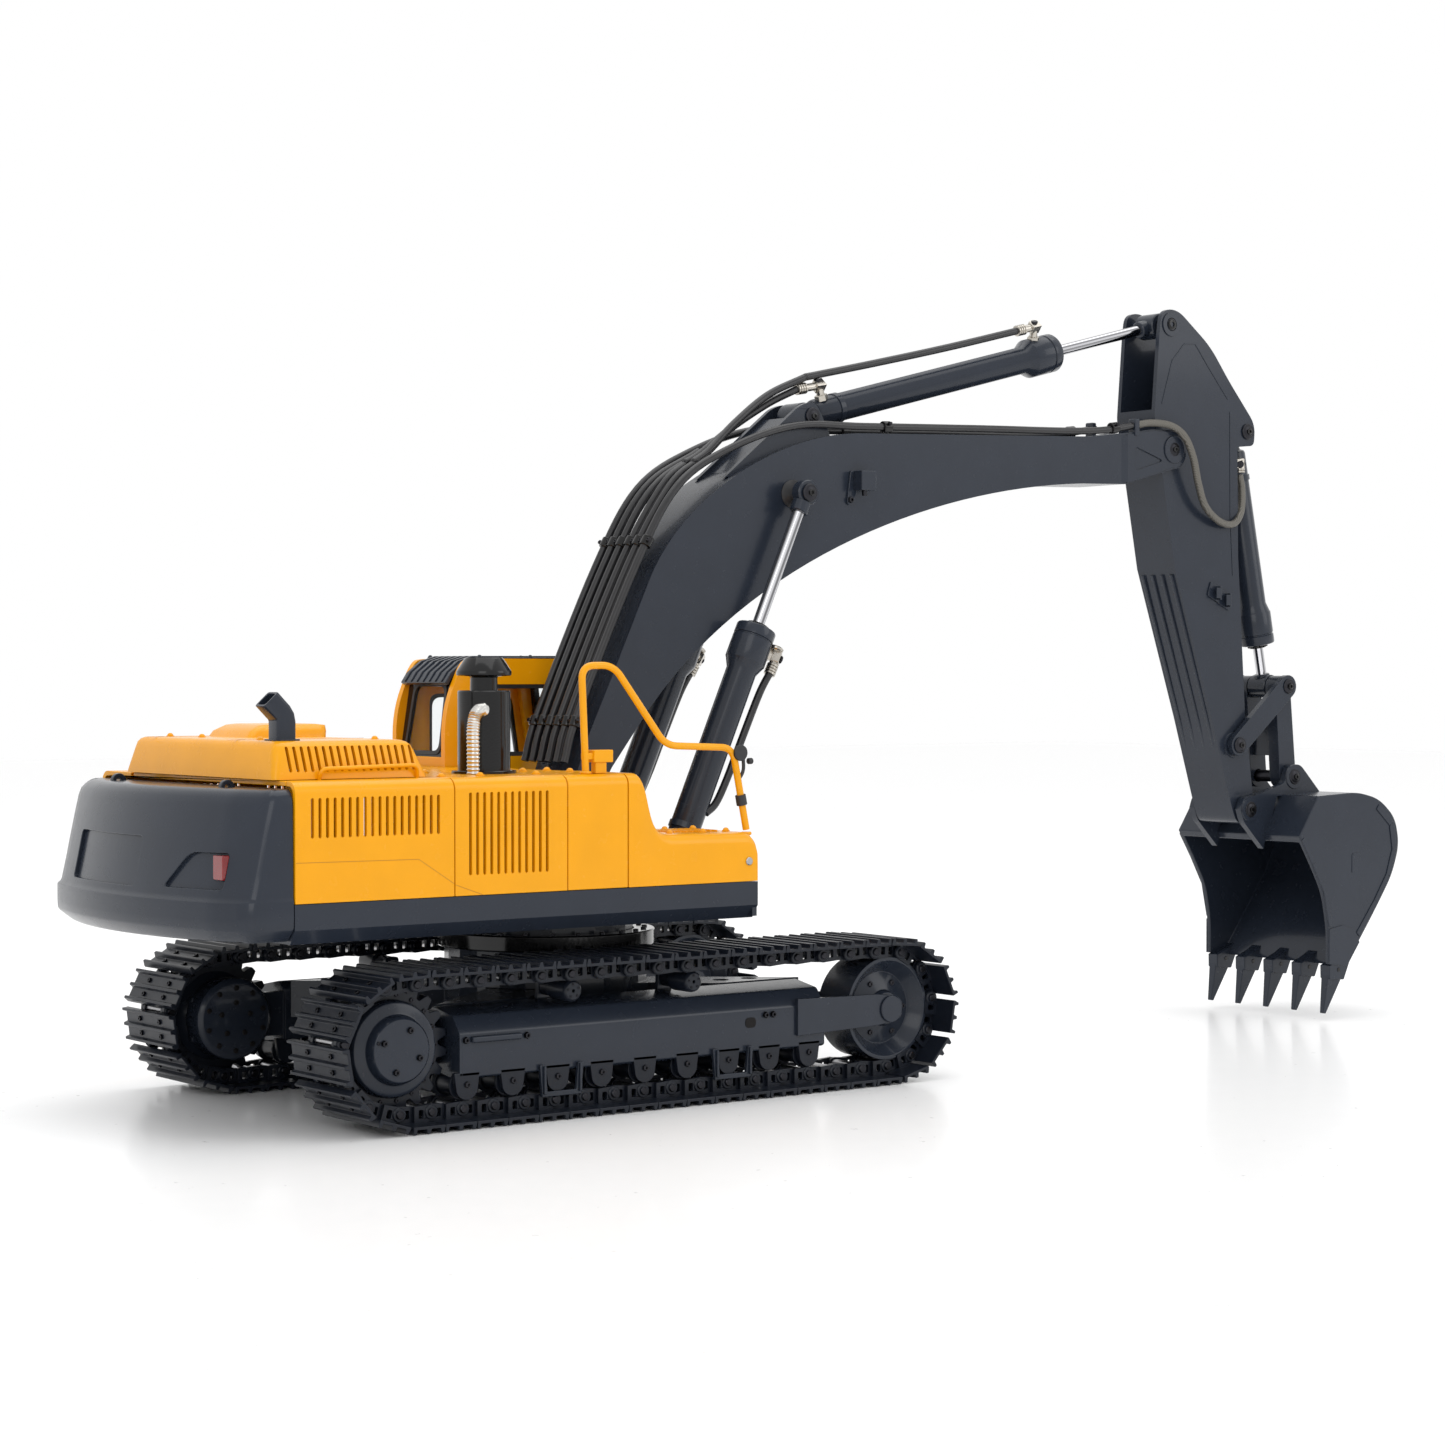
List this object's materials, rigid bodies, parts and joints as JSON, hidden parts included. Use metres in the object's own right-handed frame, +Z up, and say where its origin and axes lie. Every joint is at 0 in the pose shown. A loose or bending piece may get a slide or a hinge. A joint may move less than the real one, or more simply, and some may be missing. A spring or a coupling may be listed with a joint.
{
  "type": "radio controlled excavator",
  "caption": "Model tracked excavator with a slewing house, cab, curved boom, arm, bucket and hydraulic cylinders",
  "frame": {"origin": "middle of the footprint's box on the ground, under the track soles", "axes": "+X forwards, from the counterweight to the bucket; +Y to the cab side; +Z up"},
  "size_m": [0.905, 0.24, 0.4586],
  "materials": {
    "slate_paint": "gloss",
    "yellow_paint": "gloss",
    "black_paint": "gloss",
    "chrome_rod": "polished",
    "bare_steel": "satin",
    "track_steel": "satin",
    "cell_wrap": "matte",
    "hose_rubber": "matte"
  },
  "bodies": {
    "undercarriage": {"chassis_frame": "slate_paint", "slew_ring_outer": "bare_steel", "track_frame_left": "slate_paint", "track_chain_left": "track_steel", "final_drive_left": "slate_paint", "track_frame_right": "slate_paint", "track_chain_right": "track_steel", "final_drive_right": "slate_paint"},
    "sprocket_left": {"drive_sprocket_left": "slate_paint"},
    "sprocket_right": {"drive_sprocket_right": "slate_paint"},
    "idler_left": {"idler_wheel_left": "slate_paint"},
    "idler_right": {"idler_wheel_right": "slate_paint"},
    "carrier_rear_left": {"carrier_roller_rear_left": "slate_paint"},
    "carrier_front_left": {"carrier_roller_front_left": "slate_paint"},
    "carrier_rear_right": {"carrier_roller_rear_right": "slate_paint"},
    "carrier_front_right": {"carrier_roller_front_right": "slate_paint"},
    "house": {"revolving_frame": "slate_paint", "counterweight": "slate_paint", "upper_deck": "yellow_paint", "tool_box": "yellow_paint", "muffler": "black_paint", "handrail": "yellow_paint", "cab_frame": "yellow_paint", "battery_pack": "cell_wrap", "motor_pump": "black_paint", "oil_tank": "slate_paint", "valve_block": "bare_steel", "boom_foot_pin": "black_paint"},
    "hood": {"engine_hood": "yellow_paint", "exhaust_stack": "slate_paint"},
    "right_rear_door": {"rear_door_right": "yellow_paint"},
    "right_middle_door": {"middle_door_right": "yellow_paint"},
    "left_rear_door": {"rear_door_left": "yellow_paint"},
    "door_of_cab": {"cab_door": "yellow_paint"},
    "boom_body": {"boom": "slate_paint", "boom_rod_pin": "black_paint", "boom_hoses": "hose_rubber", "arm_base_pin": "black_paint"},
    "boom_rods": {"boom_cylinder_rod_left": "chrome_rod", "boom_cylinder_rod_right": "chrome_rod"},
    "boom_barrels": {"boom_cylinder_barrel_left": "slate_paint", "boom_cylinder_barrel_right": "slate_paint"},
    "arm_body": {"arm": "slate_paint", "arm_pivot_pin": "black_paint"},
    "arm_barrel": {"arm_cylinder_barrel": "slate_paint"},
    "arm_rod": {"arm_cylinder_rod": "chrome_rod", "arm_cylinder_piston": "bare_steel"},
    "bucket_pivot": {"bucket_pivot_pin": "black_paint"},
    "bucket_body": {"bucket": "slate_paint", "bucket_link_pin": "black_paint"},
    "link_base": {"link_base_pin": "black_paint"},
    "side_links": {"side_link_left": "slate_paint", "side_link_right": "slate_paint"},
    "link_top": {"link_top_pin_left": "black_paint", "link_top_pin_right": "black_paint"},
    "bucket_link_body": {"bucket_link": "slate_paint"},
    "bucket_base": {"bucket_base_pin": "black_paint"},
    "bucket_barrel": {"bucket_cylinder_barrel": "slate_paint"},
    "bucket_piston": {"bucket_cylinder_piston": "bare_steel"},
    "bucket_rod": {"bucket_cylinder_rod": "chrome_rod"}
  },
  "joints": [
    {"name": "swing", "type": "hinge", "parent": "undercarriage", "child": "house", "pos_m": [-0.19047, 0, 0.079], "axis": [0, 0, 1], "continuous": true},
    {"name": "drive_left", "type": "hinge", "parent": "undercarriage", "child": "sprocket_left", "pos_m": [-0.34797, 0.092, 0.0405], "axis": [0, 1, 0], "continuous": true},
    {"name": "idler_left_turn", "type": "hinge", "parent": "undercarriage", "child": "idler_left", "pos_m": [-0.03297, 0.092, 0.0405], "axis": [0, 1, 0], "continuous": true},
    {"name": "carrier_rear_left_turn", "type": "hinge", "parent": "undercarriage", "child": "carrier_rear_left", "pos_m": [-0.24347, 0.092, 0.0634], "axis": [0, 1, 0], "continuous": true},
    {"name": "carrier_front_left_turn", "type": "hinge", "parent": "undercarriage", "child": "carrier_front_left", "pos_m": [-0.16647, 0.092, 0.0634], "axis": [0, 1, 0], "continuous": true},
    {"name": "drive_right", "type": "hinge", "parent": "undercarriage", "child": "sprocket_right", "pos_m": [-0.34797, -0.092, 0.0405], "axis": [0, 1, 0], "continuous": true},
    {"name": "idler_right_turn", "type": "hinge", "parent": "undercarriage", "child": "idler_right", "pos_m": [-0.03297, -0.092, 0.0405], "axis": [0, 1, 0], "continuous": true},
    {"name": "carrier_rear_right_turn", "type": "hinge", "parent": "undercarriage", "child": "carrier_rear_right", "pos_m": [-0.24347, -0.092, 0.0634], "axis": [0, 1, 0], "continuous": true},
    {"name": "carrier_front_right_turn", "type": "hinge", "parent": "undercarriage", "child": "carrier_front_right", "pos_m": [-0.16647, -0.092, 0.0634], "axis": [0, 1, 0], "continuous": true},
    {"name": "hood_lift", "type": "hinge", "parent": "house", "child": "hood", "pos_m": [-0.36547, 0.068, 0.175], "axis": [-1, 0, 0], "range_deg": [0, 60]},
    {"name": "rear_door_right_swing", "type": "hinge", "parent": "house", "child": "right_rear_door", "pos_m": [-0.31577, -0.106, 0.142], "axis": [0, 0, 1], "range_deg": [0, 85]},
    {"name": "middle_door_right_swing", "type": "hinge", "parent": "house", "child": "right_middle_door", "pos_m": [-0.24777, -0.106, 0.142], "axis": [0, 0, 1], "range_deg": [0, 85]},
    {"name": "rear_door_left_swing", "type": "hinge", "parent": "house", "child": "left_rear_door", "pos_m": [-0.31577, 0.106, 0.142], "axis": [0, 0, -1], "range_deg": [0, 85]},
    {"name": "cab_door_swing", "type": "hinge", "parent": "house", "child": "door_of_cab", "pos_m": [-0.21047, 0.104, 0.168], "axis": [0, 0, 1], "range_deg": [0, 85]},
    {"name": "boom_lift", "type": "hinge", "parent": "house", "child": "boom_body", "pos_m": [-0.18447, 0, 0.152], "axis": [0, -1, 0], "range_deg": [-28, 22]},
    {"name": "boom_rod_swing", "type": "hinge", "parent": "boom_body", "child": "boom_rods", "pos_m": [-0.03397, 0, 0.33], "axis": [0, -1, 0], "range_deg": [-1.2, 1.5]},
    {"name": "boom_barrel_slide", "type": "slide", "parent": "boom_rods", "child": "boom_barrels", "axis": [0.4118, 0, 0.9113], "range_m": [-0.02484, 0.03156]},
    {"name": "arm_swing", "type": "hinge", "parent": "boom_body", "child": "arm_body", "pos_m": [0.27453, 0, 0.369], "axis": [0, -1, 0], "range_deg": [-50, 10]},
    {"name": "arm_cylinder_swing", "type": "hinge", "parent": "boom_body", "child": "arm_barrel", "pos_m": [-0.01447, 0, 0.376], "axis": [0, -1, 0], "range_deg": [-7.23, 1.52]},
    {"name": "arm_cylinder_stroke", "type": "slide", "parent": "arm_barrel", "child": "arm_rod", "axis": [0.9699, 0, 0.2433], "range_m": [-0.01103, 0.05436]},
    {"name": "bucket_curl", "type": "hinge", "parent": "arm_body", "child": "bucket_pivot", "pos_m": [0.34403, 0, 0.138], "axis": [0, -1, 0], "range_deg": [-60, 0]},
    {"name": "bucket_dump", "type": "hinge", "parent": "bucket_pivot", "child": "bucket_body", "pos_m": [0.34403, 0, 0.138], "axis": [0, -1, 0], "range_deg": [0, 24]},
    {"name": "side_links_curl", "type": "hinge", "parent": "arm_body", "child": "link_base", "pos_m": [0.33453, 0, 0.18], "axis": [0, -1, 0], "range_deg": [-48.33, 0]},
    {"name": "side_links_dump", "type": "hinge", "parent": "link_base", "child": "side_links", "pos_m": [0.33453, 0, 0.18], "axis": [0, -1, 0], "range_deg": [0, 21.94]},
    {"name": "bucket_link_curl", "type": "hinge", "parent": "side_links", "child": "link_top", "pos_m": [0.38053, 0, 0.218], "axis": [0, -1, 0], "range_deg": [0, 32.93]},
    {"name": "bucket_link_dump", "type": "hinge", "parent": "link_top", "child": "bucket_link_body", "pos_m": [0.38053, 0, 0.218], "axis": [0, -1, 0], "range_deg": [-16.6, 0]},
    {"name": "bucket_cylinder_swing_curl", "type": "hinge", "parent": "arm_body", "child": "bucket_base", "pos_m": [0.34653, 0, 0.384], "axis": [0, -1, 0], "range_deg": [0, 0.964]},
    {"name": "bucket_cylinder_swing_dump", "type": "hinge", "parent": "bucket_base", "child": "bucket_barrel", "pos_m": [0.34653, 0, 0.384], "axis": [0, -1, 0], "range_deg": [-5.44, 0]},
    {"name": "bucket_cylinder_stroke_curl", "type": "slide", "parent": "bucket_barrel", "child": "bucket_piston", "axis": [0.2007, 0, -0.9797], "range_m": [0, 0.04887]},
    {"name": "bucket_cylinder_stroke_dump", "type": "slide", "parent": "bucket_piston", "child": "bucket_rod", "axis": [0.2007, 0, -0.9797], "range_m": [-0.01713, 0]}
  ],
  "couplings": [
    {"joint": "idler_left_turn", "follows": "drive_left", "ratio": 1},
    {"joint": "carrier_rear_left_turn", "follows": "drive_left", "ratio": 5.614},
    {"joint": "carrier_front_left_turn", "follows": "drive_left", "ratio": 5.614},
    {"joint": "idler_right_turn", "follows": "drive_right", "ratio": 1},
    {"joint": "carrier_rear_right_turn", "follows": "drive_right", "ratio": 5.614},
    {"joint": "carrier_front_right_turn", "follows": "drive_right", "ratio": 5.614},
    {"joint": "boom_rod_swing", "follows": "boom_lift", "ratio": -0.05},
    {"joint": "boom_barrel_slide", "follows": "boom_lift", "m_per_rad": -0.064171},
    {"joint": "arm_cylinder_swing", "follows": "arm_swing", "ratio": 0.14254},
    {"joint": "arm_cylinder_stroke", "follows": "arm_swing", "m_per_rad": -0.062062},
    {"joint": "side_links_curl", "follows": "bucket_curl", "ratio": 0.8039},
    {"joint": "side_links_dump", "follows": "bucket_dump", "ratio": 0.90994},
    {"joint": "bucket_link_curl", "follows": "bucket_curl", "ratio": -0.54724},
    {"joint": "bucket_link_dump", "follows": "bucket_dump", "ratio": -0.68763},
    {"joint": "bucket_cylinder_swing_curl", "follows": "bucket_curl", "ratio": -0.014399},
    {"joint": "bucket_cylinder_swing_dump", "follows": "bucket_dump", "ratio": -0.22253},
    {"joint": "bucket_cylinder_stroke_curl", "follows": "bucket_curl", "m_per_rad": -0.046479},
    {"joint": "bucket_cylinder_stroke_dump", "follows": "bucket_dump", "m_per_rad": -0.040414}
  ]
}
